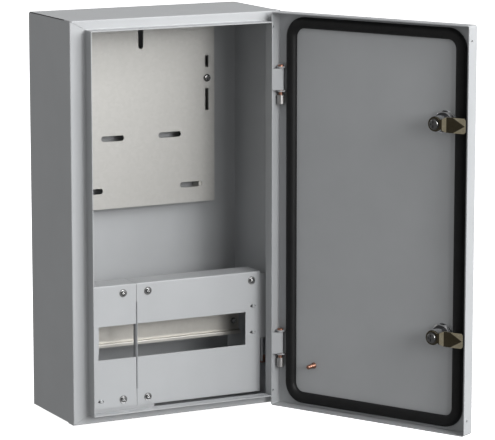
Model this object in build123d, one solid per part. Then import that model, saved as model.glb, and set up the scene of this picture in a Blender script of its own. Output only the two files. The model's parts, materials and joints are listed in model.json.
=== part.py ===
from build123d import *
import os

# Subpanel enclosure: wall box with a gasketed door, meter plate and module covers.
# Millimetres. X right, Z up, origin at mid width and mid height on the back face,
# front toward -Y. The door group is modelled closed and then turned open.

# --- box -----------------------------------------------------------------
WIDTH = 310.0
HEIGHT = 540.0
BODY_DEPTH = 137.0
SHEET = 1.2
SIDE_FLANGE = 22.0
END_FLANGE = 13.0
LIP_PROUD = 18.7
LIP_BEND = 1.6
LIP_EDGE = 0.35
BEND_OUT = 1.5
BEND_IN = BEND_OUT - SHEET
SEAM = 0.3
PANEL_FIT = 0.4
RELIEF_R = 1.0
RELIEF_IN = 2.2
EDGE_STEP = 1.0
EDGE_STEP_END = -119.0

HALF_W = WIDTH / 2
HALF_H = HEIGHT / 2
WALL_IN = HALF_W - SHEET
FLANGE_Y = -BODY_DEPTH
FLANGE_BACK = FLANGE_Y + SHEET
LIP_Y = FLANGE_Y - LIP_PROUD
LIP_X = HALF_W - SIDE_FLANGE
LIP_Z = HALF_H - END_FLANGE
LIP_X_IN = LIP_X - SHEET
LIP_Z_IN = LIP_Z - SHEET

WALL_HOLE_R = 4.25
WALL_HOLE_X = 116.0
WALL_HOLE_Z = 235.0
KNOCKOUT_R = 14.5
KNOCKOUT_X = 75.0
KNOCKOUT_Y = -62.0
KNOCKOUT_GROOVE = 0.6

# --- meter plate ---------------------------------------------------------
PLATE_Y = -22.5
PLATE_T = 1.5
PLATE_HALF_W = 111.5
PLATE_LOW = -3.0
PLATE_HIGH = 257.0
PLATE_CORNER = 3.0
SLOT_L = 34.2
SLOT_W = 7.6
SLOT_ROWS = ((43.1, 93.5), (75.3, 22.0))
TOP_SLOT_Z = 231.0
SIDE_SLOT_W = 5.2
SIDE_SLOT_CORNER = 0.5
SIDE_SLOTS = ((192.1, 16.8), (139.2, 30.8))
SUPPORT_X = 100.0
SUPPORT_W = 24.0
HOOK_W = 12.0
HOOK_FIT = 0.2
HOOK_DROP = 4.0
PLATE_SCREW_Z = 168.8
PLATE_SCREW_R = 5.2

# --- module covers -------------------------------------------------------
COVER_Y = -126.0
COVER_T = 1.0
COVER_HALF_W = 129.2
COVER_TOP = -87.3
COVER_LOW = -255.0
COVER_SPLIT = -56.9
COVER_GAP = 0.6
COVER_HOOD = 37.5
COVER_BEND = 1.6
RETURN_DEPTH = 7.4
RETURN_LOW = -232.0
RETURN_HIGH = -112.3
WINDOW_LOW = -188.0
WINDOW_HIGH = -142.4
WINDOW_LEFT = -113.5
WINDOW_RIGHT = 107.0
COVER_SCREWS_LEFT = ((-76.4, -99.0), (-77.3, -244.5))
COVER_SCREWS_RIGHT = ((-40.0, -99.0), (116.3, -99.0), (-40.8, -244.5))
COVER_HEAD_R = 3.6
COVER_WASHER_R = 5.4
COVER_WASHER_T = 0.7
BRIDGES_LEFT = ((-110.2, -244.2),)
BRIDGES_RIGHT = ((118.6, -134.9), (118.3, -171.3))
BRIDGE_SLOT_L = 8.0
BRIDGE_SLOT_W = 3.8
BRIDGE_STRAP = (-1.1, 2.2)
BRIDGE_STRAP_W = 5.0
BRIDGE_RISE = 0.95
BRIDGE_ROOM_R = 4.4

# --- rail and its brackets -----------------------------------------------
RAIL_FRONT = -80.0
RAIL_DEPTH = 7.5
RAIL_T = 1.0
RAIL_Z = -164.8
RAIL_HALF_L = 123.0
RAIL_SCREW_X = 114.8
BRACKET_T = 1.5
BRACKET_GAP = 0.1
BRACKET_FRONT_X = 112.0
BRACKET_WALL_X = 132.5
SEAT_X = 107.2
SEAT_LOW = -214.0
BRACKET_HIGH = -91.0
BRACKET_FRONT_LOW = -180.5
CROSSBAR_LOW = -107.0
SUPPORT_LEFT = -124.0
SUPPORT_RIGHT = -30.8
SUPPORT_HIGH = -236.5
TAB_DEPTH = 22.0

# --- door, drawn closed --------------------------------------------------
DOOR_T = 1.2
DOOR_BACK = -139.8
DOOR_DEPTH = 20.6
DOOR_FREE_X = -153.7
DOOR_CORNER = 3.0
DOOR_BEND = 1.5
HINGE_SIDE_BACK = -140.6
DOOR_HOLE_R = 1.6
DOOR_HOLE_Z = 250.0
FREE_HOLE_Y = -147.0
HINGE_HOLE_Y = -144.0
DOOR_FRONT = DOOR_BACK - DOOR_DEPTH
SKIN = DOOR_FRONT + DOOR_T
OPEN_ANGLE = 117.5

GASKET_MIDDLE = (0.5, -0.6)
GASKET_X = 132.7
GASKET_Z = 257.0
GASKET_W = 15.2
GASKET_H = 8.0
GASKET_CORNER = 20.0
GASKET_ROUND = 5.2

# --- hinges --------------------------------------------------------------
HINGE_X = 147.2
HINGE_Y = -151.8
HINGES = {"upper": 179.2, "lower": -183.2}
PIN_R = 2.75
PIN_FIT = 0.05
PIN_HEAD_R = 4.0
PIN_HEAD_H = 2.3
PIN_SHOWN = 4.6
KNUCKLE_R = 3.9
LEAF_T = 1.4
LEAF_H = 29.2
EAR_T = 1.5
EAR_R = 6.0
EARS_H = 33.9
SLEEVE_R = 4.9
SLEEVE_H = 12.6
SLEEVE_GROOVE = 0.45

# --- locks, measured inward from the door skin ---------------------------
LOCK_X = -108.5
LOCKS = {"upper": 141.0, "lower": -141.0}
LOCK_R = 10.0
LOCK_HEAD_R = 12.5
LOCK_HEAD_T = 2.8
SEAL_T = 0.6
PLUG_R = 6.5
PLUG_FIT = 0.05
PLUG_PROUD = 0.6
KEY_R = 4.2
KEY_DEPTH = 6.0
KEY_PIN_R = 2.2
KEY_BIT = 1.4
LOCK_WASHER_R = 15.0
LOCK_WASHER_T = 1.5
NUT_FLATS = 27.0
NUT_H = 6.0
CAM_T = 2.2
TONGUE_IN = 23.9
HUB_IN = 26.4
HUB_R = 9.4
TONGUE_W = 20.0
TONGUE_TIP = 44.3
TONGUE_START = 16.5
CRANK_START = 11.5
NECK_W = 13.0
TIP_CUT = 2.2
BEVEL_START = 26.5
BEVEL_DEPTH = 1.6
CAM_WASHER_R = 7.4
CAM_WASHER_T = 0.6
CAM_SCREW_R = 6.6
CAM_SCREW_H = 2.6
CAM_SHANK_R = 2.5

# --- earth studs ---------------------------------------------------------
STUD_R = 3.0
DOOR_STUD = (96.5, -210.8)
DOOR_STUD_L = 15.0
BODY_STUD_Y = -100.0
BODY_STUD_Z = -217.0
BODY_STUD_L = 18.0
STUD_NUT_FLATS = 10.0
STUD_NUT_H = 3.2


def block(x0, x1, y0, y1, z0, z1):
    """Box between two corners."""
    middle = Pos((x0 + x1) / 2, (y0 + y1) / 2, (z0 + z1) / 2)
    return middle * Box(abs(x1 - x0), abs(y1 - y0), abs(z1 - z0))


def rod_x(radius, y, z, x0, x1):
    """Cylinder along X."""
    return Pos((x0 + x1) / 2, y, z) * Rot(0, 90, 0) * Cylinder(radius, abs(x1 - x0))


def rod_y(radius, x, z, y0, y1):
    """Cylinder along Y."""
    return Pos(x, (y0 + y1) / 2, z) * Rot(90, 0, 0) * Cylinder(radius, abs(y1 - y0))


def rod_z(radius, x, y, z0, z1):
    """Cylinder along Z."""
    return Pos(x, y, (z0 + z1) / 2) * Cylinder(radius, abs(z1 - z0))


def rounded(points, radii):
    """Polygon whose corners, given by index, are rounded to the radii."""
    outline = Polygon(*points, align=None)
    for index, radius in radii.items():
        corner = outline.vertices().sort_by_distance((*points[index], 0))[0]
        outline = fillet(corner, radius)
    return outline


def along_x(outline, x0, x1):
    """Outline in Y and Z drawn out between two X values."""
    return Pos(x0, 0, 0) * extrude(Plane.YZ * outline, amount=x1 - x0, dir=(1, 0, 0))


def along_y(outline, y0, y1):
    """Outline in X and Z drawn out between two Y values."""
    return Pos(0, y0, 0) * extrude(Plane.XZ * outline, amount=y1 - y0, dir=(0, 1, 0))


def along_z(outline, z0, z1):
    """Outline in X and Y drawn out between two Z values."""
    return Pos(0, 0, z0) * extrude(outline, amount=z1 - z0, dir=(0, 0, 1))


def slot_cut(x, z, length, width, y0, y1, upright=False):
    """Round ended slot through a plate that faces the front."""
    turn = Rot(0, 0, 90) if upright else Rot(0, 0, 0)
    return along_y(Pos(x, z, 0) * turn * SlotOverall(length, width), y0, y1)


def cross_recess(radius, depth):
    """Crossed slots cut down from z = 0."""
    arm = Box(radius * 1.3, radius * 0.28, depth)
    return Pos(0, 0, -depth / 2) * (arm + Rot(0, 0, 90) * arm)


def screw(head_r, head_h, shank_r, shank_l):
    """Domed screw on +Z with its head seated on z = 0."""
    head = Pos(0, 0, head_h / 2) * Cylinder(head_r, head_h)
    head = fillet(head.edges().sort_by(Axis.Z)[-1], head_h * 0.7)
    head -= Pos(0, 0, head_h) * cross_recess(head_r, head_h * 0.5)
    return head + Pos(0, 0, -shank_l / 2) * Cylinder(shank_r, shank_l)


def mitre_line(x, seam):
    """Height of the corner seam at a distance from the middle."""
    return LIP_Z + seam + (x - LIP_X) * END_FLANGE / SIDE_FLANGE


def relief_holes():
    """Small bend reliefs at the outer end of each corner seam."""
    x = HALF_W - RELIEF_IN
    z = mitre_line(x, SEAM / 2)
    y = (FLANGE_Y - SHEET, FLANGE_BACK)
    return [rod_y(RELIEF_R, sx * x, sz * z, *y) for sx in (-1, 1) for sz in (-1, 1)]


def end_cut():
    """Space above the upper corner seams that the end panel takes."""
    far = HALF_W + SHEET
    right = [(far, mitre_line(far, 0)), (LIP_X, LIP_Z), (LIP_X_IN, LIP_Z_IN)]
    left = [(-x, z) for x, z in reversed(right)]
    above = [(-far, HALF_H + END_FLANGE), (far, HALF_H + END_FLANGE)]
    cut = along_y(Polygon(*right, *left, *above, align=None), LIP_Y - SHEET, FLANGE_BACK)
    return cut + block(-WALL_IN, WALL_IN, FLANGE_BACK, FLANGE_BACK + BEND_IN, HALF_H - SHEET, HALF_H)


def body_wrap():
    """Back, sides, side flanges and side lips from one folded sheet."""
    right = [
        (HALF_W, 0), (HALF_W, FLANGE_Y), (LIP_X, FLANGE_Y), (LIP_X, LIP_Y),
        (LIP_X_IN, LIP_Y), (LIP_X_IN, FLANGE_BACK), (WALL_IN, FLANGE_BACK), (WALL_IN, -SHEET),
    ]
    left = [(-x, y) for x, y in reversed(right)]
    rear = LIP_BEND + SHEET
    bends = (BEND_OUT, BEND_OUT, LIP_BEND, LIP_EDGE, LIP_EDGE, rear, BEND_IN, BEND_IN)
    radii = dict(enumerate(bends + bends[::-1]))
    wrap = along_z(rounded(right + left, radii), -HALF_H, HALF_H)
    cut = end_cut()
    for side in (-1, 1):
        wall = (side * (HALF_W + 1), side * (WALL_IN - 1))
        cut += block(*wall, EDGE_STEP_END, 1, HALF_H - EDGE_STEP, HALF_H + 1)
    wrap -= cut
    wrap -= mirror(cut, about=Plane.XY)
    for x in (-WALL_HOLE_X, WALL_HOLE_X):
        for z in (-WALL_HOLE_Z, WALL_HOLE_Z):
            wrap -= rod_y(WALL_HOLE_R, x, z, -2 * SHEET, SHEET)
    wrap -= relief_holes()
    wrap -= rod_x(STUD_R, BODY_STUD_Y, BODY_STUD_Z, WALL_IN - 1, HALF_W - SHEET / 2)
    return wrap


def side_cut():
    """Space outside the right corner seam that the folded sheet takes."""
    far = HALF_W + SHEET
    shape = [
        (LIP_X_IN - SEAM, LIP_Z_IN - 1), (LIP_X_IN - SEAM, LIP_Z_IN), (LIP_X - SEAM, LIP_Z),
        (LIP_X, LIP_Z + SEAM), (far, mitre_line(far, SEAM)), (far, LIP_Z_IN - 1),
    ]
    return along_y(Polygon(*shape, align=None), LIP_Y - SHEET, FLANGE_BACK)


def top_panel():
    """Top sheet with its flange and lip, fitted between the sides."""
    rear = -SHEET - PANEL_FIT
    outline = [
        (rear, HALF_H), (FLANGE_Y, HALF_H), (FLANGE_Y, LIP_Z), (LIP_Y, LIP_Z),
        (LIP_Y, LIP_Z_IN), (FLANGE_BACK, LIP_Z_IN), (FLANGE_BACK, HALF_H - SHEET),
        (rear, HALF_H - SHEET),
    ]
    bends = {1: BEND_OUT, 2: LIP_BEND, 3: LIP_EDGE, 4: LIP_EDGE, 5: LIP_BEND + SHEET, 6: BEND_IN}
    half = WALL_IN - PANEL_FIT
    panel = along_x(rounded(outline, bends), -half, half)
    cut = side_cut()
    panel -= cut
    panel -= mirror(cut, about=Plane.YZ)
    panel -= relief_holes()
    return panel


def bottom_panel():
    """Bottom sheet: the top one turned over, with two ringed knockouts."""
    panel = mirror(top_panel(), about=Plane.XY)
    for x in (-KNOCKOUT_X, KNOCKOUT_X):
        ring = Cylinder(KNOCKOUT_R, 2 * KNOCKOUT_GROOVE) - Cylinder(KNOCKOUT_R - 0.8, 2 * SHEET)
        panel -= Pos(x, KNOCKOUT_Y, -HALF_H) * ring
    return panel


def side_slot(x, z, length, y0, y1):
    """Upright rectangular slot near a side of the meter plate."""
    return along_y(Pos(x, z, 0) * RectangleRounded(SIDE_SLOT_W, length, SIDE_SLOT_CORNER), y0, y1)


def plate_support(side):
    """Upright channel that holds the meter plate off the back, with a hook over its top edge."""
    x = side * SUPPORT_X
    back, front = -SHEET, PLATE_Y + PLATE_T
    low, high = PLATE_LOW + 6, PLATE_HIGH + HOOK_FIT + BRACKET_T
    half = SUPPORT_W / 2
    channel = block(x - half, x + half, front, front + BRACKET_T, low, high)
    for wall in (x - half, x + half - BRACKET_T):
        channel += block(wall, wall + BRACKET_T, front, back, low, high)
    hook_back = PLATE_Y - HOOK_FIT
    hook = (x - HOOK_W / 2, x + HOOK_W / 2)
    channel += block(*hook, hook_back - BRACKET_T, front, high - BRACKET_T, high)
    channel += block(*hook, hook_back - BRACKET_T, hook_back, PLATE_HIGH - HOOK_DROP, high)
    y = (front - 1, front + 2 * BRACKET_T)
    for z, length in SIDE_SLOTS:
        channel -= side_slot(x, z, length, *y)
    return channel - rod_y(2.1, x, PLATE_SCREW_Z, *y)


def mounting_plate():
    """Flat galvanised plate with round ended fixing slots."""
    middle = (PLATE_LOW + PLATE_HIGH) / 2
    face = RectangleRounded(2 * PLATE_HALF_W, PLATE_HIGH - PLATE_LOW, PLATE_CORNER)
    plate = along_y(Pos(0, middle, 0) * face, PLATE_Y, PLATE_Y + PLATE_T)
    y = (PLATE_Y - 1, PLATE_Y + PLATE_T + 1)
    plate -= slot_cut(0, TOP_SLOT_Z, SLOT_L, SLOT_W, *y, upright=True)
    for side in (-1, 1):
        for x, z in SLOT_ROWS:
            plate -= slot_cut(side * x, z, SLOT_L, SLOT_W, *y)
        for z, length in SIDE_SLOTS:
            plate -= side_slot(side * SUPPORT_X, z, length, *y)
        plate -= rod_y(2.1, side * SUPPORT_X, PLATE_SCREW_Z, *y)
    return plate


def plate_screws():
    """Two domed screws that hold the meter plate."""
    one = screw(PLATE_SCREW_R, 3.0, 2.0, 8.0)
    return Part() + [Pos(x, PLATE_Y, PLATE_SCREW_Z) * Rot(90, 0, 0) * one for x in (-SUPPORT_X, SUPPORT_X)]


def bridge(x, z):
    """Raised seal bridge over a short slot: the slot to cut and the strap to add."""
    slot = slot_cut(x, z, BRIDGE_SLOT_L, BRIDGE_SLOT_W, COVER_Y - 1, COVER_Y + COVER_T + 1)
    x0, x1 = (x + end for end in BRIDGE_STRAP)
    z0, z1 = z - BRIDGE_STRAP_W / 2, z + BRIDGE_STRAP_W / 2
    strap = block(x0, x1, COVER_Y - BRIDGE_RISE, COVER_Y, z0, z1)
    long_edges = strap.edges().filter_by(Axis.X).group_by(Axis.Y)[0]
    return slot, fillet(long_edges, 0.8)


def cover(x0, x1, inner, window, screws, bridges):
    """Module cover with a hood, one edge return, a window and its screw holes.

    inner is +1 when the edge with the return is x1 and -1 when it is x0.
    """
    back = COVER_Y + COVER_T
    plate = block(x0, x1, COVER_Y, back, COVER_LOW, COVER_TOP)
    plate += block(x0, x1, COVER_Y, COVER_Y + COVER_HOOD, COVER_TOP - COVER_T, COVER_TOP)
    top_front = plate.edges().filter_by(Axis.X).sort_by_distance((0, COVER_Y, COVER_TOP))[0]
    plate = fillet(top_front, COVER_BEND)
    edge = x1 if inner > 0 else x0
    strip = block(edge, edge - inner * 3, COVER_Y, back, RETURN_LOW, RETURN_HIGH)
    turned = strip + block(
        edge, edge - inner * COVER_T, COVER_Y, COVER_Y + RETURN_DEPTH, RETURN_LOW, RETURN_HIGH
    )
    bend = turned.edges().filter_by(Axis.Z).sort_by_distance((edge, COVER_Y, RETURN_LOW))[0]
    plate = (plate - strip) + fillet(bend, COVER_BEND)
    wx0, wx1 = window
    middle = ((wx0 + wx1) / 2, (WINDOW_LOW + WINDOW_HIGH) / 2)
    opening = Pos(*middle, 0) * Rectangle(wx1 - wx0, WINDOW_HIGH - WINDOW_LOW)
    plate -= along_y(opening, COVER_Y - 1, back + 1)
    for x, z in screws:
        plate -= rod_y(2.2, x, z, COVER_Y - 1, back + 1)
    for x, z in bridges:
        slot, strap = bridge(x, z)
        plate = plate - slot + strap
    return plate


def cover_left():
    """Cover over the three module opening."""
    edge = COVER_SPLIT - COVER_GAP / 2
    window = (WINDOW_LEFT, edge - COVER_T)
    return cover(-COVER_HALF_W, edge, 1, window, COVER_SCREWS_LEFT, BRIDGES_LEFT)


def cover_right():
    """Cover over the nine module opening."""
    edge = COVER_SPLIT + COVER_GAP / 2
    window = (edge + COVER_T, WINDOW_RIGHT)
    return cover(edge, COVER_HALF_W, -1, window, COVER_SCREWS_RIGHT, BRIDGES_RIGHT)


def cover_screws():
    """Domed screws of both covers."""
    one = screw(COVER_HEAD_R, 2.8, 2.0, 7.0)
    seat = COVER_Y - COVER_WASHER_T
    places = COVER_SCREWS_LEFT + COVER_SCREWS_RIGHT
    return Part() + [Pos(x, seat, z) * Rot(90, 0, 0) * one for x, z in places]


def cover_washers():
    """Flat washers under the cover screws."""
    ring = Cylinder(COVER_WASHER_R, COVER_WASHER_T) - Cylinder(2.2, 2 * COVER_WASHER_T)
    middle = COVER_Y - COVER_WASHER_T / 2
    places = COVER_SCREWS_LEFT + COVER_SCREWS_RIGHT
    return Part() + [Pos(x, middle, z) * Rot(90, 0, 0) * ring for x, z in places]


def bracket_front():
    """Y of the plane that the covers are screwed to."""
    return COVER_Y + COVER_T + BRACKET_GAP


def rail_bracket_right():
    """Welded bracket: front plate, side tab, depth wall and rail seat."""
    front = bracket_front()
    seat = RAIL_FRONT + RAIL_DEPTH
    wall = (BRACKET_WALL_X, BRACKET_WALL_X + BRACKET_T)
    shape = block(BRACKET_FRONT_X, WALL_IN, front, front + BRACKET_T, BRACKET_FRONT_LOW, BRACKET_HIGH)
    shape += block(WALL_IN - BRACKET_T, WALL_IN, front, front + TAB_DEPTH, BRACKET_FRONT_LOW, BRACKET_HIGH)
    shape += block(*wall, front, seat + BRACKET_T, SEAT_LOW, BRACKET_HIGH)
    shape += block(SEAT_X, wall[1], seat, seat + BRACKET_T, SEAT_LOW, BRACKET_HIGH)
    for x, z in COVER_SCREWS_RIGHT:
        shape -= rod_y(2.1, x, z, front - 1, front + 2 * BRACKET_T)
    for x, z in BRIDGES_RIGHT:
        shape -= rod_y(BRIDGE_ROOM_R, x, z, front - 1, front + 2 * BRACKET_T)
    shape -= rod_y(2.1, RAIL_SCREW_X, RAIL_Z, seat - 1, seat + 2 * BRACKET_T)
    return shape


def rail_bracket_left():
    """Mirror of the right bracket, without the cover's holes."""
    plain = rail_bracket_right()
    filled = (BRACKET_FRONT_X + 1, BRACKET_WALL_X)
    plain += block(*filled, bracket_front(), bracket_front() + BRACKET_T, BRACKET_FRONT_LOW, BRACKET_HIGH)
    return mirror(plain, about=Plane.YZ)


def upper_crossbar():
    """Strip between the brackets that takes the upper cover screws."""
    front = bracket_front()
    bar = block(-BRACKET_FRONT_X, BRACKET_FRONT_X, front, front + BRACKET_T, CROSSBAR_LOW, BRACKET_HIGH)
    for x, z in COVER_SCREWS_LEFT + COVER_SCREWS_RIGHT:
        bar -= rod_y(2.1, x, z, front - 1, front + 2 * BRACKET_T)
    return bar


def lower_support_plate():
    """Angle on the bottom panel that takes the lower cover screws."""
    front = bracket_front()
    floor = -HALF_H + SHEET
    plate = block(SUPPORT_LEFT, SUPPORT_RIGHT, front, front + BRACKET_T, floor, SUPPORT_HIGH)
    plate += block(SUPPORT_LEFT, SUPPORT_RIGHT, front, front + TAB_DEPTH, floor, floor + BRACKET_T)
    for x, z in COVER_SCREWS_LEFT + COVER_SCREWS_RIGHT:
        plate -= rod_y(2.1, x, z, front - 1, front + 2 * BRACKET_T)
    for x, z in BRIDGES_LEFT:
        plate -= rod_y(BRIDGE_ROOM_R, x, z, front - 1, front + 2 * BRACKET_T)
    return plate


def din_rail():
    """Top hat rail, 35 wide."""
    half, neck = 17.5, 12.5
    front, back = RAIL_FRONT, RAIL_FRONT + RAIL_DEPTH
    upper = [
        (back, neck + RAIL_T), (front + RAIL_T, neck + RAIL_T), (front + RAIL_T, half),
        (front, half), (front, neck), (back - RAIL_T, neck),
    ]
    lower = [(y, -z) for y, z in reversed(upper)]
    radii = {0: 1.4, 4: 1.4, 7: 1.4, 11: 1.4}
    outline = Pos(0, RAIL_Z, 0) * rounded(upper + lower, radii)
    rail = along_x(outline, -RAIL_HALF_L, RAIL_HALF_L)
    for x in (-RAIL_SCREW_X, RAIL_SCREW_X):
        rail -= rod_y(2.1, x, RAIL_Z, back - 2 * RAIL_T, back + RAIL_T)
    return rail


def rail_screws():
    """Two screws that hold the rail on its seats."""
    one = screw(4.2, 2.6, 2.0, 6.0)
    seat = RAIL_FRONT + RAIL_DEPTH - RAIL_T
    return Part() + [Pos(x, seat, RAIL_Z) * Rot(90, 0, 0) * one for x in (-RAIL_SCREW_X, RAIL_SCREW_X)]


def body_earth_stud():
    """Threaded stud welded in the right side."""
    stud = rod_x(STUD_R, BODY_STUD_Y, BODY_STUD_Z, WALL_IN - BODY_STUD_L, HALF_W - SHEET / 2)
    return chamfer(stud.edges().sort_by(Axis.X)[0], 0.5)


def hexagon(flats):
    """Regular hexagon across flats."""
    return RegularPolygon(flats / 2, 6, major_radius=False)


def body_earth_nuts():
    """Two nuts on the body stud."""
    profile = hexagon(STUD_NUT_FLATS) - Circle(STUD_R)
    one = along_x(Pos(BODY_STUD_Y, BODY_STUD_Z, 0) * profile, 0, STUD_NUT_H)
    return Part() + [Pos(WALL_IN - x, 0, 0) * one for x in (STUD_NUT_H + 1.5, 3 * STUD_NUT_H)]


def hinge_leaf(z):
    """Knuckle and leaf welded to the front of the right lip."""
    half = LEAF_H / 2
    outer = HINGE_Y - KNUCKLE_R
    leaf = block(LIP_X, HINGE_X, outer, outer + LEAF_T, z - half, z + half)
    leaf += rod_z(KNUCKLE_R, HINGE_X, HINGE_Y, z - half, z + half)
    return leaf - rod_z(PIN_R + PIN_FIT, HINGE_X, HINGE_Y, z - half - 1, z + half + 1)


# --- door parts, drawn closed --------------------------------------------

def opened(shape):
    """Turn a closed door part to the rest pose."""
    axis = Pos(HINGE_X, HINGE_Y, 0)
    return axis * Rot(0, 0, OPEN_ANGLE) * Pos(-HINGE_X, -HINGE_Y, 0) * shape


def door_panel():
    """Folded tray with holes for the locks and small side holes."""
    width = HALF_W - DOOR_FREE_X
    centre = Pos((HALF_W + DOOR_FREE_X) / 2, 0, 0)
    outer = along_y(centre * RectangleRounded(width, HEIGHT, DOOR_CORNER), DOOR_FRONT, DOOR_BACK)
    outer = fillet(outer.faces().sort_by(Axis.Y)[0].edges(), DOOR_BEND)
    hollow = centre * RectangleRounded(width - 2 * DOOR_T, HEIGHT - 2 * DOOR_T, DOOR_CORNER - DOOR_T)
    inner = along_y(hollow, SKIN, DOOR_BACK + 1)
    inner = fillet(inner.faces().sort_by(Axis.Y)[0].edges(), DOOR_BEND - DOOR_T)
    tray = outer - inner
    hinge_side = (HALF_W - 2 * DOOR_T, HALF_W + 1)
    tray -= block(*hinge_side, HINGE_SIDE_BACK, DOOR_BACK + 1, -HALF_H - 1, HALF_H + 1)
    for z in (-DOOR_HOLE_Z, DOOR_HOLE_Z):
        tray -= rod_x(DOOR_HOLE_R, FREE_HOLE_Y, z, DOOR_FREE_X - 1, DOOR_FREE_X + 2 * DOOR_T)
        tray -= rod_x(DOOR_HOLE_R, HINGE_HOLE_Y, z, *hinge_side)
    for z in LOCKS.values():
        tray -= rod_y(LOCK_R + PLUG_FIT, LOCK_X, z, DOOR_FRONT - 1, SKIN + 1)
    return tray


def door_gasket():
    """Moulded sealing ring on the skin."""
    outer = RectangleRounded(2 * GASKET_X + GASKET_W, 2 * GASKET_Z + GASKET_W, GASKET_CORNER + GASKET_W / 2)
    inner = RectangleRounded(2 * GASKET_X - GASKET_W, 2 * GASKET_Z - GASKET_W, GASKET_CORNER - GASKET_W / 2)
    ring = along_y(Pos(*GASKET_MIDDLE, 0) * (outer - inner), SKIN, SKIN + GASKET_H)
    return fillet(ring.faces().sort_by(Axis.Y)[-1].edges(), GASKET_ROUND)


def hinge_bracket(z):
    """U bracket on the skin with two round ended ears."""
    half = EARS_H / 2
    x0, x1 = HINGE_X - EAR_R, HINGE_X + EAR_R
    base = block(x0, x1, SKIN, SKIN + EAR_T, z - half, z + half)
    for low in (z - half, z + half - EAR_T):
        ear = block(x0, x1, SKIN, HINGE_Y, low, low + EAR_T)
        ear += rod_z(EAR_R, HINGE_X, HINGE_Y, low, low + EAR_T)
        base += ear - rod_z(PIN_R + PIN_FIT, HINGE_X, HINGE_Y, low - 1, low + EAR_T + 1)
    return base


def hinge_pin(z):
    """Headed pin through the ears and the knuckle."""
    top = z + EARS_H / 2
    end = z - EARS_H / 2 - PIN_SHOWN - SLEEVE_H
    pin = rod_z(PIN_R, HINGE_X, HINGE_Y, end, top)
    head = rod_z(PIN_HEAD_R, HINGE_X, HINGE_Y, top, top + PIN_HEAD_H)
    return pin + fillet(head.edges().sort_by(Axis.Z)[-1], 1.0)


def hinge_sleeve(z):
    """Grooved retaining sleeve on the pin's lower end."""
    top = z - EARS_H / 2 - PIN_SHOWN
    sleeve = rod_z(SLEEVE_R, HINGE_X, HINGE_Y, top - SLEEVE_H, top)
    ends = sleeve.edges().filter_by(GeomType.CIRCLE)
    sleeve = chamfer(ends, SLEEVE_GROOVE)
    for share in (0.25, 0.5, 0.75):
        middle = top - SLEEVE_H * share
        groove = Cylinder(SLEEVE_R + 1, 1.0) - Cylinder(SLEEVE_R - SLEEVE_GROOVE, 2.0)
        sleeve -= Pos(HINGE_X, HINGE_Y, middle) * groove
    return sleeve - rod_z(PIN_R + PIN_FIT, HINGE_X, HINGE_Y, top - SLEEVE_H - 1, top + 1)


def lock_housing(z):
    """Flanged barrel through the skin with the plug bore."""
    head = DOOR_FRONT - SEAL_T
    flange = rod_y(LOCK_HEAD_R, LOCK_X, z, head - LOCK_HEAD_T, head)
    flange = fillet(flange.edges().sort_by(Axis.Y)[0], 1.2)
    barrel = rod_y(LOCK_R, LOCK_X, z, head, SKIN + HUB_IN - 0.1)
    bore = rod_y(PLUG_R + PLUG_FIT, LOCK_X, z, head - LOCK_HEAD_T - 1, SKIN + HUB_IN + 1)
    return flange + barrel - bore


def ring_y(outer, inner, z, y0, y1):
    """Flat ring about a lock axis."""
    return rod_y(outer, LOCK_X, z, y0, y1) - rod_y(inner, LOCK_X, z, y0 - 1, y1 + 1)


def lock_seal(z):
    """Thin seal under the lock's head."""
    return ring_y(LOCK_HEAD_R - 0.4, LOCK_R + PLUG_FIT, z, DOOR_FRONT - SEAL_T, DOOR_FRONT)


def lock_washer(z):
    """Washer between the skin and the nut."""
    ring = ring_y(LOCK_WASHER_R, LOCK_R + PLUG_FIT, z, SKIN, SKIN + LOCK_WASHER_T)
    rim = ring.edges().filter_by(GeomType.CIRCLE).group_by(Axis.Y)[-1].sort_by(SortBy.RADIUS)[-1]
    return chamfer(rim, 0.4)


def lock_nut(z):
    """Hexagon nut with its corners turned down."""
    y0 = SKIN + LOCK_WASHER_T
    body = along_y(Pos(LOCK_X, z, 0) * hexagon(NUT_FLATS), y0, y0 + NUT_H)
    crown = rod_y(NUT_FLATS / 2 + 1.6, LOCK_X, z, y0, y0 + NUT_H)
    crown = chamfer(crown.edges().sort_by(Axis.Y)[-1], 1.6, 2.2)
    return (body & crown) - rod_y(LOCK_R + PLUG_FIT, LOCK_X, z, y0 - 1, y0 + NUT_H + 1)


def lock_plug(z):
    """Turning plug with a double bit key recess and a threaded end."""
    front = DOOR_FRONT - SEAL_T - LOCK_HEAD_T + PLUG_PROUD
    back = SKIN + HUB_IN
    plug = rod_y(PLUG_R, LOCK_X, z, front, back)
    recess = rod_y(KEY_R, LOCK_X, z, front - 1, front + KEY_DEPTH)
    pin = rod_y(KEY_PIN_R, LOCK_X, z, front, front + KEY_DEPTH)
    bits = block(
        LOCK_X - KEY_R + 0.6, LOCK_X + KEY_R - 0.6, front, front + KEY_DEPTH, z - KEY_BIT / 2, z + KEY_BIT / 2
    )
    plug = plug - recess + pin + bits
    return plug - rod_y(CAM_SHANK_R + PLUG_FIT, LOCK_X, z, back - 12, back + 1)


def tip_bevel():
    """Wedge to cut from one corner of a tongue that points to -X, hub on the origin."""
    face = TONGUE_IN + CAM_T
    half = TONGUE_W / 2
    fold = Vector(BEVEL_START - TONGUE_TIP, 0, -half).normalized()
    across = Vector(fold.Z, 0, -fold.X)
    reach = half * across.Z
    normal = Vector(0, reach, 0) + across * BEVEL_DEPTH
    slope = Plane(origin=(-BEVEL_START, face, half), x_dir=fold, z_dir=normal)
    return slope * Pos(reach, reach, CAM_T) * Box(3 * reach, 2 * reach, 2 * CAM_T)


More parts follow.
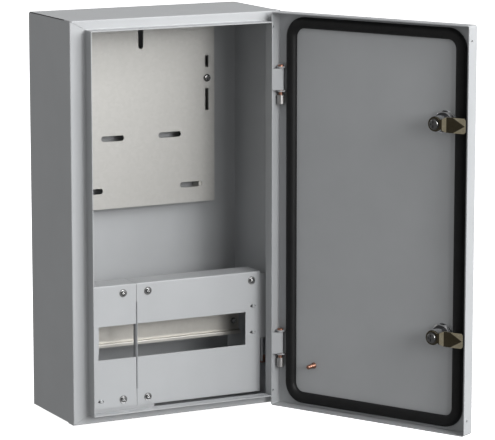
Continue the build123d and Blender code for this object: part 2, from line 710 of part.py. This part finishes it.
def lock_cam(z):
    """Cranked tongue: hub on the plug, tongue nearer the skin."""
    tongue_out = TONGUE_IN + CAM_T
    hub_out = HUB_IN + CAM_T
    side = [
        (HUB_R, hub_out), (-CRANK_START, hub_out), (-TONGUE_START, tongue_out), (-TONGUE_TIP, tongue_out),
        (-TONGUE_TIP, TONGUE_IN), (-TONGUE_START + 0.6, TONGUE_IN), (-CRANK_START + 0.6, HUB_IN), (HUB_R, HUB_IN),
    ]
    bends = {1: 1.2, 2: 0.8, 5: 1.2, 6: 0.8}
    bar = along_z(rounded(side, bends), -TONGUE_W / 2, TONGUE_W / 2)
    half, neck = TONGUE_W / 2, NECK_W / 2
    tip = -TONGUE_TIP
    plan = Polygon(
        (0, neck), (-HUB_R, neck), (-TONGUE_START, half), (tip + TIP_CUT, half), (tip, half - TIP_CUT),
        (tip, TIP_CUT - half), (tip + TIP_CUT, -half), (-TONGUE_START, -half), (-HUB_R, -neck), (0, -neck),
        align=None,
    )
    cam = bar & along_y(plan + Circle(HUB_R), 0, hub_out + 1)
    cam -= rod_y(CAM_SHANK_R + PLUG_FIT, 0, 0, 0, hub_out + 1)
    bevel = tip_bevel()
    cam = cam - bevel - mirror(bevel, about=Plane.XY)
    return Pos(LOCK_X, SKIN, z) * cam


def cam_washer(z):
    """Washer under the cam screw."""
    y0 = SKIN + HUB_IN + CAM_T
    return ring_y(CAM_WASHER_R, CAM_SHANK_R + PLUG_FIT, z, y0, y0 + CAM_WASHER_T)


def cam_screw(z):
    """Domed screw that holds the cam on the plug."""
    seat = SKIN + HUB_IN + CAM_T + CAM_WASHER_T
    one = screw(CAM_SCREW_R, CAM_SCREW_H, CAM_SHANK_R, 12.0)
    return Pos(LOCK_X, seat, z) * Rot(-90, 0, 0) * one


def door_earth_stud():
    """Flanged stud on the skin."""
    x, z = DOOR_STUD
    stud = rod_y(STUD_R, x, z, SKIN, SKIN + DOOR_STUD_L)
    stud = chamfer(stud.edges().sort_by(Axis.Y)[-1], 0.5)
    return stud + rod_y(STUD_R + 1.2, x, z, SKIN, SKIN + 1.0)


def save(node, shape):
    """Write one node."""
    export_step(shape, f"parts/{node}.step")


def save_body():
    """Nodes fixed to the box."""
    fixed = (
        body_wrap, top_panel, bottom_panel, mounting_plate, plate_screws, cover_left, cover_right,
        cover_screws, cover_washers, rail_bracket_right, rail_bracket_left, upper_crossbar,
        lower_support_plate, din_rail, rail_screws, body_earth_stud, body_earth_nuts,
    )
    for make in fixed:
        save(make.__name__, make())
    save("plate_support_left", plate_support(-1))
    save("plate_support_right", plate_support(1))
    for place, z in HINGES.items():
        save(f"hinge_leaf_{place}", hinge_leaf(z))


def save_door():
    """Nodes that turn with the door, and with the locks in it."""
    for make in (door_panel, door_gasket, door_earth_stud):
        save(make.__name__, opened(make()))
    for place, z in HINGES.items():
        for make in (hinge_bracket, hinge_pin, hinge_sleeve):
            save(f"{make.__name__}_{place}", opened(make(z)))
    lock_parts = (
        lock_housing, lock_seal, lock_washer, lock_nut, lock_plug, lock_cam, cam_washer, cam_screw,
    )
    for place, z in LOCKS.items():
        for make in lock_parts:
            save(f"{make.__name__}_{place}", opened(make(z)))


os.makedirs("parts", exist_ok=True)
save_body()
save_door()
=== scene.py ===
import json
import math

import bmesh
import bpy
from mathutils import Matrix, Vector, noise as field


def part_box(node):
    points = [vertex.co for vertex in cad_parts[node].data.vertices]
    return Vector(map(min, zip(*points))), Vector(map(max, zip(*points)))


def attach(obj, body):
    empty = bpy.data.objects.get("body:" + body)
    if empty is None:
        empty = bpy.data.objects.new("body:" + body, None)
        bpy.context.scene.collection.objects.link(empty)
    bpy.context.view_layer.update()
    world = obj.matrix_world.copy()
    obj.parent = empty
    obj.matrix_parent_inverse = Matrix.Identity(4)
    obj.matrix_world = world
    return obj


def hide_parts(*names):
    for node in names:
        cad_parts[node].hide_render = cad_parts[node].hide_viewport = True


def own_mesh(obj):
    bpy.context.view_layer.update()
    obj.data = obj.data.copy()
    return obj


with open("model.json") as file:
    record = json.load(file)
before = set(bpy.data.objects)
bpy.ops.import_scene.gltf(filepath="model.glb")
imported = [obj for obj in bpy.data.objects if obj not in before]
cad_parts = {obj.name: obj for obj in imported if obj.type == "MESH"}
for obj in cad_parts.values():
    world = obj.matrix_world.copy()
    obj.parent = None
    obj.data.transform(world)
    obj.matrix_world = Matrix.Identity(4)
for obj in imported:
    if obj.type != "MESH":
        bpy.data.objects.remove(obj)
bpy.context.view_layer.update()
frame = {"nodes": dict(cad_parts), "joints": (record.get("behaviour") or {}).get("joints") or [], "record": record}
nodes = frame["nodes"]


def closed_to_rest():
    """Matrix from the closed door to the open door of the rest pose."""
    joint = next(j for j in frame["joints"] if j["name"] == "door_hinge")
    hinge = Vector(joint["pos_m"])
    turn = Matrix.Rotation(-math.radians(joint["range_deg"][0]), 4, "Z")
    return Matrix.Translation(hinge) @ turn @ Matrix.Translation(-hinge)


DOOR_PLACE = closed_to_rest()
DOOR_INWARD = DOOR_PLACE.to_3x3() @ Vector((0, 1, 0))

# --- camera, metres and degrees ------------------------------------------
CAMERA_PLACE = (-1.6106, -3.4900, 0.65365)
CAMERA_YAW = 27.09
CAMERA_PITCH = 10.033
CAMERA_LENS = 205.28
CAMERA_SENSOR = 36.0
CAMERA_REACH = 100.0

# --- floor and white surroundings ----------------------------------------
FLOOR_Z = -0.276
FLOOR_SIZE = 60.0
FLOOR_WHITE = 0.85
FLOOR_ROUGH = 0.9
FLOOR_SHINE = 0.2
FLOOR_GLOW = 1.0
SKY = 0.35
SKY_GLOSS = 0.22

# --- sealing ring --------------------------------------------------------
RING_WIDTH = 0.0152
RING_CORNER = 0.020
RING_SIDE_POINTS = 22
RING_STEP = 0.008
RING_ARC_POINTS = 14
RING_POWER = 2.5
RING_WAVE = 0.00022
RING_WAVE_SCALE = 28
RING_WAVE_SIDE = 0.5

# --- coat, and painted shade in the open joints of the box, metres -------
COAT = (0.385, 0.395, 0.405)
JOINT_X = 0.1533
JOINT_Y = -0.1195
JOINT_Z = 0.26895
JOINT_SHADE_COLOUR = (0.012, 0.012, 0.013)

# --- grain of the surfaces, metres ---------------------------------------
CLOUD = 0.012
COAT_CLOUD = 0.06
COAT_PEEL = 0.0012
METAL_GRAIN = 0.0008
CAM_CLOUD = 0.009
CAM_GRAIN = 0.0007
SPANGLE = 0.0045
ROLLING = 0.0010
FOAM_CLOUD = 0.010
FOAM_PORES = 0.0009
RUBBER_GRAIN = 0.0009

# --- cosine to a direction above which a face takes the painted reflection tone of flat faces ---
CAM_FLAT = 0.993
DISC_FLAT = 0.985

# --- studs ---------------------------------------------------------------
STUD_RADIUS = 0.0030
STUD_PITCH = 0.0010
THREAD_DEPTH = 0.00045
THREAD_TURN_POINTS = 28
THREAD_PITCH_POINTS = 6
STUD_FOOT_RADIUS = 0.0042
STUD_FOOT = 0.0010
FOOT_BEVEL = 0.3
FOOT_NECK = 1.3
END_BEVEL = 1.4


# --- shader helpers ------------------------------------------------------

def new_material(name):
    """Material with a Principled shader: returns it, its tree and the shader."""
    material = bpy.data.materials.new(name)
    material.use_nodes = True
    tree = material.node_tree
    return material, tree, tree.nodes["Principled BSDF"]


def place(tree, scale=(1.0, 1.0, 1.0)):
    """Object coordinates in metres, times a scale."""
    coords = tree.nodes.new("ShaderNodeTexCoord")
    mapping = tree.nodes.new("ShaderNodeMapping")
    mapping.inputs["Scale"].default_value = scale
    tree.links.new(coords.outputs["Object"], mapping.inputs["Vector"])
    return mapping.outputs["Vector"]


def noise(tree, vector, size, detail=3.0, rough=0.55):
    """Noise whose grain is about size metres."""
    node = tree.nodes.new("ShaderNodeTexNoise")
    node.inputs["Scale"].default_value = 1.0 / size
    node.inputs["Detail"].default_value = detail
    node.inputs["Roughness"].default_value = rough
    tree.links.new(vector, node.inputs["Vector"])
    return node.outputs["Fac"]


def cells(tree, vector, size):
    """Distance field of random cells about size metres across."""
    node = tree.nodes.new("ShaderNodeTexVoronoi")
    node.inputs["Scale"].default_value = 1.0 / size
    tree.links.new(vector, node.inputs["Vector"])
    return node.outputs["Distance"]


def cell_tones(tree, vector, size):
    """One random tone for each cell about size metres across."""
    node = tree.nodes.new("ShaderNodeTexVoronoi")
    node.inputs["Scale"].default_value = 1.0 / size
    tree.links.new(vector, node.inputs["Vector"])
    grey = tree.nodes.new("ShaderNodeRGBToBW")
    tree.links.new(node.outputs["Color"], grey.inputs["Color"])
    return grey.outputs["Val"]


def ramp(tree, value, stops):
    """Colour ramp from a value; stops are (place, colour)."""
    node = tree.nodes.new("ShaderNodeValToRGB")
    elements = node.color_ramp.elements
    while len(elements) < len(stops):
        elements.new(0.5)
    for element, (position, colour) in zip(elements, stops):
        element.position = position
        element.color = (*colour, 1.0)
    tree.links.new(value, node.inputs["Fac"])
    return node.outputs["Color"]


def spread(tree, value, low, high):
    """Value from 0..1 moved to low..high."""
    node = tree.nodes.new("ShaderNodeMapRange")
    node.inputs["To Min"].default_value = low
    node.inputs["To Max"].default_value = high
    tree.links.new(value, node.inputs["Value"])
    return node.outputs["Result"]


def bump(tree, shader, height, distance, strength=1.0):
    """Surface relief of a height field, distance in metres."""
    node = tree.nodes.new("ShaderNodeBump")
    node.inputs["Distance"].default_value = distance
    node.inputs["Strength"].default_value = strength
    tree.links.new(height, node.inputs["Height"])
    tree.links.new(node.outputs["Normal"], shader.inputs["Normal"])


def tint(colour, share):
    """Colour made lighter or darker by a share."""
    return tuple(channel * share for channel in colour)


def calculate(tree, operation, one, two):
    """Result of one math operation; each operand is a socket or a number."""
    node = tree.nodes.new("ShaderNodeMath")
    node.operation = operation
    for socket, operand in zip(node.inputs, (one, two)):
        if isinstance(operand, (int, float)):
            socket.default_value = operand
        else:
            tree.links.new(operand, socket)
    return node.outputs["Value"]


def joint_shade_mask(tree):
    """1 on the open joint between the side sheets and the end panels, where its shade is painted, else 0."""
    apart = tree.nodes.new("ShaderNodeSeparateXYZ")
    tree.links.new(place(tree), apart.inputs["Vector"])
    far_x = calculate(tree, "ABSOLUTE", apart.outputs["X"], 0.0)
    far_z = calculate(tree, "ABSOLUTE", apart.outputs["Z"], 0.0)
    beside = calculate(tree, "GREATER_THAN", far_x, JOINT_X)
    above = calculate(tree, "GREATER_THAN", far_z, JOINT_Z)
    behind = calculate(tree, "GREATER_THAN", apart.outputs["Y"], JOINT_Y)
    return calculate(tree, "MULTIPLY", calculate(tree, "MULTIPLY", beside, above), behind)


def blend_colour(tree, factor, one, two):
    """Mix from colour one to colour two by a factor."""
    node = tree.nodes.new("ShaderNodeMix")
    node.data_type = "RGBA"
    tree.links.new(factor, node.inputs["Factor"])
    for socket, colour in ((node.inputs["A"], one), (node.inputs["B"], two)):
        if isinstance(colour, tuple):
            socket.default_value = (*colour, 1.0)
        else:
            tree.links.new(colour, socket)
    return node.outputs["Result"]


def flat_mask(tree, direction, limit):
    """1 on faces square to a direction, else 0."""
    coords = tree.nodes.new("ShaderNodeTexCoord")
    facing = tree.nodes.new("ShaderNodeVectorMath")
    facing.operation = "DOT_PRODUCT"
    facing.inputs[1].default_value = tuple(direction)
    tree.links.new(coords.outputs["Normal"], facing.inputs[0])
    flat = calculate(tree, "ABSOLUTE", facing.outputs["Value"], 0.0)
    return calculate(tree, "GREATER_THAN", flat, limit)


# --- materials -----------------------------------------------------------

def painted(name, colour, joint_shaded=False):
    """Semi gloss powder coat: slow tone drift and a fine orange peel, with painted shade in the open joints."""
    material, tree, shader = new_material(name)
    vector = place(tree)
    cloud = noise(tree, vector, COAT_CLOUD, 4.0)
    tone = ramp(tree, cloud, [(0.3, tint(colour, 0.975)), (0.7, tint(colour, 1.025))])
    if joint_shaded:
        # painted shade: the open joints are coloured near black
        tone = blend_colour(tree, joint_shade_mask(tree), tone, JOINT_SHADE_COLOUR)
    tree.links.new(tone, shader.inputs["Base Color"])
    grain = noise(tree, vector, COAT_PEEL, 3.0)
    tree.links.new(spread(tree, grain, 0.36, 0.52), shader.inputs["Roughness"])
    bump(tree, shader, grain, 0.00010, 0.45)
    return material


def metal(name, colour, rough, drift, stretch=(1.0, 1.0, 1.0)):
    """Bare or plated metal: tone and gloss drift, with a fine grain that may be stretched."""
    material, tree, shader = new_material(name)
    shader.inputs["Metallic"].default_value = 1.0
    vector = place(tree)
    cloud = noise(tree, vector, CLOUD, 4.0)
    tone = ramp(tree, cloud, [(0.3, tint(colour, 1 - drift)), (0.7, tint(colour, 1 + drift))])
    tree.links.new(tone, shader.inputs["Base Color"])
    fine = noise(tree, place(tree, stretch), METAL_GRAIN, 4.0)
    tree.links.new(spread(tree, fine, rough * 0.8, rough * 1.25), shader.inputs["Roughness"])
    bump(tree, shader, fine, 0.00003, 0.5)
    return material


def powder_coat():
    """Light grey powder coat of the box, the covers and the door, with painted shade in the open joints."""
    return painted("powder_coat", COAT, joint_shaded=True)


def hinge_steel():
    """The same coat over the welded hinge parts, a little darker as painted shade from the open door."""
    return painted("hinge_steel", tint(COAT, 0.9))


def galvanised_plate():
    """Satin galvanised sheet: faint spangle, fine rolling lines and a warm tone."""
    material, tree, shader = new_material("galvanised_plate")
    shader.inputs["Metallic"].default_value = 0.6
    vector = place(tree)
    spangle = cell_tones(tree, vector, SPANGLE)
    tone = ramp(tree, spangle, [(0.0, (0.450, 0.443, 0.423)), (1.0, (0.474, 0.467, 0.447))])
    tree.links.new(tone, shader.inputs["Base Color"])
    rolled = noise(tree, place(tree, (0.05, 1.0, 1.0)), ROLLING, 3.0)
    tree.links.new(spread(tree, rolled, 0.36, 0.48), shader.inputs["Roughness"])
    bump(tree, shader, rolled, 0.00004, 0.3)
    return material


def galvanised_parts():
    """Rolled rail and strips, brushed along their length."""
    return metal("galvanised_parts", (0.56, 0.545, 0.51), 0.46, 0.04, (0.06, 1.0, 1.0))


def copper_plate():
    """Copper plated pins and studs."""
    return metal("copper_plate", (0.45, 0.24, 0.175), 0.36, 0.10)


def zinc_sleeve():
    """Bright zinc of the grooved sleeves."""
    return metal("zinc_sleeve", (0.54, 0.53, 0.52), 0.42, 0.06)


def reflection_painted_metal(name, direction, flat, curved, rough):
    """Polished metal with painted reflection: one painted tone on faces square to a direction, another on its
    curved faces.
    """
    material, tree, shader = new_material(name)
    shader.inputs["Metallic"].default_value = 1.0
    vector = place(tree)
    cloud = noise(tree, vector, CLOUD, 4.0)
    # painted reflection: faces square to the direction take one tone, curved faces the other
    square = flat_mask(tree, direction, DISC_FLAT)
    reflection_tones = [ramp(tree, cloud, [(0.3, tint(one, 0.93)), (0.7, tint(one, 1.07))]) for one in (curved, flat)]
    tree.links.new(blend_colour(tree, square, *reflection_tones), shader.inputs["Base Color"])
    fine = noise(tree, vector, METAL_GRAIN, 4.0)
    tree.links.new(spread(tree, fine, rough * 0.8, rough * 1.25), shader.inputs["Roughness"])
    bump(tree, shader, fine, 0.00002, 0.4)
    return material


def screw_steel():
    """Plated screws on light washers; the curved domes take a dark tone that is painted reflection."""
    return reflection_painted_metal("screw_steel", (0, 1, 0), (0.80, 0.80, 0.80), (0.21, 0.21, 0.21), 0.12)


def lock_chrome():
    """Chromed casting, nut and washer: painted dark reflection on the faces square to the door's inward direction,
    bright chrome elsewhere.
    """
    return reflection_painted_metal("lock_chrome", DOOR_INWARD, (0.12, 0.12, 0.125), (0.82, 0.82, 0.83), 0.10)


def cam_zinc():
    """Yellow passivated cam: flat faces coloured dark as painted reflection, bends, bevels and edges coloured
    bright yellow as painted highlight.
    """
    material, tree, shader = new_material("cam_zinc")
    shader.inputs["Metallic"].default_value = 1.0
    vector = place(tree)
    # painted reflection: flat faces square to the door's inward direction take a dark tone, the rest a bright
    # painted highlight
    flat = flat_mask(tree, DOOR_INWARD, CAM_FLAT)
    cloud = noise(tree, vector, CAM_CLOUD, 5.0, 0.6)
    gold_highlight_stops = ((0.25, (0.62, 0.54, 0.37)), (0.55, (0.74, 0.66, 0.48)), (0.8, (0.86, 0.78, 0.60)))
    gold_highlight = ramp(tree, cloud, gold_highlight_stops)
    olive_dark_reflection = ramp(tree, cloud, [(0.25, (0.085, 0.070, 0.042)), (0.8, (0.125, 0.105, 0.070))])
    tree.links.new(blend_colour(tree, flat, gold_highlight, olive_dark_reflection), shader.inputs["Base Color"])
    fine = noise(tree, vector, CAM_GRAIN, 4.0)
    tree.links.new(spread(tree, fine, 0.18, 0.32), shader.inputs["Roughness"])
    bump(tree, shader, fine, 0.00003, 0.5)
    return material


def gasket_foam():
    """Black poured foam: closed skin with fine pores."""
    material, tree, shader = new_material("gasket_foam")
    vector = place(tree)
    cloud = noise(tree, vector, FOAM_CLOUD, 4.0)
    tone = ramp(tree, cloud, [(0.3, (0.0045, 0.0045, 0.0048)), (0.7, (0.0075, 0.0075, 0.0080))])
    tree.links.new(tone, shader.inputs["Base Color"])
    pores = cells(tree, vector, FOAM_PORES)
    tree.links.new(spread(tree, pores, 0.50, 0.66), shader.inputs["Roughness"])
    shader.inputs["Specular IOR Level"].default_value = 0.35
    bump(tree, shader, pores, 0.00012, 0.6)
    return material


def seal_rubber():
    """Moulded black rubber."""
    material, tree, shader = new_material("seal_rubber")
    vector = place(tree)
    grain = noise(tree, vector, RUBBER_GRAIN, 3.0)
    tone = ramp(tree, grain, [(0.3, (0.012, 0.012, 0.012)), (0.7, (0.020, 0.020, 0.020))])
    tree.links.new(tone, shader.inputs["Base Color"])
    tree.links.new(spread(tree, grain, 0.5, 0.65), shader.inputs["Roughness"])
    bump(tree, shader, grain, 0.00005, 0.5)
    return material


MAKERS = (
    powder_coat, hinge_steel, galvanised_plate, galvanised_parts, copper_plate, zinc_sleeve,
    screw_steel, lock_chrome, cam_zinc, gasket_foam, seal_rubber,
)
MATERIALS = {make.__name__: make() for make in MAKERS}


def dress():
    """Give each CAD node the material of its slot."""
    for part in frame["record"]["subparts"]:
        mesh = nodes[part["node"]].data
        mesh.materials.clear()
        mesh.materials.append(MATERIALS[part["material_slot"]])


# --- door pieces ---------------------------------------------------------

def closed_box(node):
    """Lowest and highest corner of a door node with the door closed."""
    back = DOOR_PLACE.inverted()
    points = [back @ vertex.co for vertex in nodes[node].data.vertices]
    return Vector(map(min, zip(*points))), Vector(map(max, zip(*points)))


def ring_path(half_x, half_z):
    """Points and outward directions of a rounded rectangle, every RING_STEP."""
    path = []
    straight = (half_z - RING_CORNER, half_x - RING_CORNER)
    for quarter in range(4):
        turn = Matrix.Rotation(quarter * math.pi / 2, 2)
        across, along = (half_x, straight[0]) if quarter % 2 == 0 else (half_z, straight[1])
        steps = round(2 * along / RING_STEP)
        for step in range(steps):
            point = Vector((across, -along + 2 * along * step / steps))
            path.append((turn @ point, turn @ Vector((1, 0))))
        middle = Vector((across - RING_CORNER, along))
        for step in range(RING_ARC_POINTS):
            angle = step / RING_ARC_POINTS * math.pi / 2
            out = Vector((math.cos(angle), math.sin(angle)))
            path.append((turn @ (middle + RING_CORNER * out), turn @ out))
    return path


def ring_profile(width, height):
    """Rounded bead section: (outward, up) pairs from its outer foot to its inner foot."""
    section = []
    for index in range(RING_SIDE_POINTS + 1):
        angle = math.pi * index / RING_SIDE_POINTS
        c, s = math.cos(angle), math.sin(angle)
        across = math.copysign(abs(c) ** (2 / RING_POWER), c) * width / 2
        section.append((across, height * max(s, 0.0) ** (2 / RING_POWER)))
    return section


def new_piece(name, mesh, material, body):
    """Smooth shaded object from a bmesh, on a body."""
    bmesh.ops.recalc_face_normals(mesh, faces=mesh.faces)
    data = bpy.data.meshes.new(name)
    mesh.to_mesh(data)
    mesh.free()
    data.materials.append(MATERIALS[material])
    data.shade_smooth()
    piece = bpy.data.objects.new(name, data)
    bpy.context.scene.collection.objects.link(piece)
    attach(piece, body)
    return piece


def loft(rings, closed):
    """Skin over rings of points; closed joins the last ring to the first."""
    mesh = bmesh.new()
    rows = [[mesh.verts.new(point) for point in ring] for ring in rings]
    pairs = list(zip(rows, rows[1:]))
    if closed:
        pairs.append((rows[-1], rows[0]))
    else:
        mesh.faces.new(rows[0])
        mesh.faces.new(rows[-1])
    for one, two in pairs:
        for index in range(len(one)):
            after = (index + 1) % len(one)
            mesh.faces.new((one[index], one[after], two[after], two[index]))
    return mesh


def sealing_ring():
    """Poured foam bead on the skin, a little uneven as it is laid by a nozzle."""
    low, high = closed_box("door_gasket")
    middle = (low + high) / 2
    half_x = (high.x - low.x - RING_WIDTH) / 2
    half_z = (high.z - low.z - RING_WIDTH) / 2
    section = ring_profile(RING_WIDTH, high.y - low.y - RING_WAVE)
    rings = []
    for point, out in ring_path(half_x, half_z):
        wave = RING_WAVE * field.noise(Vector((point.x, point.y, 0)) * RING_WAVE_SCALE)
        ring = []
        for across, up in section:
            lift = up * (1 + wave / (high.y - low.y))
            reach = across + wave * RING_WAVE_SIDE * (up > 0)
            flat = point + out * reach
            ring.append(DOOR_PLACE @ Vector((middle.x + flat.x, low.y + lift, middle.z + flat.y)))
        rings.append(ring)
    piece = new_piece("sealing_ring", loft(rings, closed=True), "gasket_foam", "door")
    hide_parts("door_gasket")
    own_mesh(piece)


def threaded(name, base, axis, length, body, node, foot):
    """Stud with a helical thread from a base point along an axis, and an optional round foot."""
    turn = axis.to_track_quat("Z", "Y").to_matrix().to_4x4()
    to_place = Matrix.Translation(base) @ turn
    rings = []
    if foot:
        bevel = STUD_FOOT * FOOT_BEVEL
        for height, inset in ((0.0, 0), (STUD_FOOT - bevel, 0), (STUD_FOOT, bevel)):
            radius = STUD_FOOT_RADIUS - inset
            rings.append([(radius, height)] * THREAD_TURN_POINTS)
        rings.append([(STUD_RADIUS - THREAD_DEPTH, STUD_FOOT)] * THREAD_TURN_POINTS)
    start = STUD_FOOT * FOOT_NECK if foot else 0.0
    steps = int((length - start) / STUD_PITCH * THREAD_PITCH_POINTS)
    for step in range(steps + 1):
        height = start + (length - start) * step / steps
        ease = min(1.0, (length - height) / STUD_PITCH)
        ring = []
        for index in range(THREAD_TURN_POINTS):
            phase = (height / STUD_PITCH - index / THREAD_TURN_POINTS) % 1.0
            dip = THREAD_DEPTH * (1 - abs(2 * phase - 1))
            ring.append((STUD_RADIUS - max(dip, THREAD_DEPTH * END_BEVEL * (1 - ease)), height))
        rings.append(ring)
    placed = []
    for ring in rings:
        points = []
        for index, (radius, height) in enumerate(ring):
            angle = 2 * math.pi * index / THREAD_TURN_POINTS
            points.append(to_place @ Vector((radius * math.cos(angle), radius * math.sin(angle), height)))
        placed.append(points)
    piece = new_piece(name, loft(placed, closed=False), "copper_plate", body)
    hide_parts(node)


def studs():
    """Threaded earth studs of the door and of the box."""
    low, high = closed_box("door_earth_stud")
    middle = (low + high) / 2
    base = DOOR_PLACE @ Vector((middle.x, low.y, middle.z))
    threaded("door_stud", base, DOOR_INWARD, high.y - low.y, "door", "door_earth_stud", True)
    low, high = (Vector(corner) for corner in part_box("body_earth_stud"))
    base = Vector((high.x, (low.y + high.y) / 2, (low.z + high.z) / 2))
    threaded("box_stud", base, Vector((-1, 0, 0)), high.x - low.x, "enclosure", "body_earth_stud", False)


# --- stage ---------------------------------------------------------------

def floor():
    """Plain pale floor under the object."""
    bpy.ops.mesh.primitive_plane_add(size=FLOOR_SIZE, location=(0, 0, FLOOR_Z))
    ground = bpy.context.object
    ground.name = "floor"
    material, _, shader = new_material("floor_white")
    shader.inputs["Base Color"].default_value = (FLOOR_WHITE, FLOOR_WHITE, FLOOR_WHITE, 1.0)
    shader.inputs["Roughness"].default_value = FLOOR_ROUGH
    shader.inputs["Specular IOR Level"].default_value = FLOOR_SHINE
    shader.inputs["Emission Color"].default_value = (1.0, 1.0, 1.0, 1.0)
    shader.inputs["Emission Strength"].default_value = FLOOR_GLOW
    ground.data.materials.append(material)
    ground.visible_diffuse = False
    ground.visible_glossy = False


# name, azimuth right of the front, elevation, distance, size, radiant power
LAMPS = (
    ("front", 8.0, 12.0, 4.0, 1.4, 50.0),
    ("key", 24.0, 22.0, 4.0, 1.8, 76.0),
    ("high", 22.0, 42.0, 4.0, 2.0, 45.0),
    ("right", 50.0, 20.0, 4.0, 2.0, 70.0),
    ("top", 20.0, 80.0, 3.5, 2.4, 12.0),
    ("left", -55.0, 30.0, 4.0, 2.4, 2.5),
    ("side", -125.0, 20.0, 4.0, 2.0, 16.0),
    ("back", 170.0, 40.0, 4.0, 2.5, 16.0),
)


def lamp(name, azimuth, elevation, distance, size, power):
    """Square area light on a sphere about the object, facing it."""
    turn, rise = math.radians(azimuth), math.radians(elevation)
    flat = distance * math.cos(rise)
    spot = Vector((flat * math.sin(turn), -flat * math.cos(turn), distance * math.sin(rise)))
    data = bpy.data.lights.new(name, "AREA")
    data.size = size
    data.energy = power
    light = bpy.data.objects.new(name, data)
    bpy.context.scene.collection.objects.link(light)
    light.location = spot
    light.rotation_euler = (-spot).to_track_quat("-Z", "Y").to_euler()


def lights():
    """White surroundings, dimmer in reflections as in a dark studio, and soft lamps."""
    world = bpy.data.worlds.new("studio")
    bpy.context.scene.world = world
    world.use_nodes = True
    tree = world.node_tree
    sky = tree.nodes["Background"]
    sky.inputs["Color"].default_value = (1.0, 1.0, 1.0, 1.0)
    rays = tree.nodes.new("ShaderNodeLightPath")
    strength = spread(tree, rays.outputs["Is Glossy Ray"], SKY, SKY_GLOSS)
    tree.links.new(strength, sky.inputs["Strength"])
    for row in LAMPS:
        lamp(*row)


def camera():
    """Camera at the fitted viewing angle."""
    data = bpy.data.cameras.new("camera")
    data.lens = CAMERA_LENS
    data.sensor_width = CAMERA_SENSOR
    data.clip_end = CAMERA_REACH
    view = bpy.data.objects.new("camera", data)
    view.location = CAMERA_PLACE
    view.rotation_euler = (math.radians(90 - CAMERA_PITCH), 0.0, math.radians(-CAMERA_YAW))
    bpy.context.scene.collection.objects.link(view)
    bpy.context.scene.camera = view


bpy.context.scene.view_settings.view_transform = "Standard"
dress()
sealing_ring()
studs()
floor()
lights()
camera()
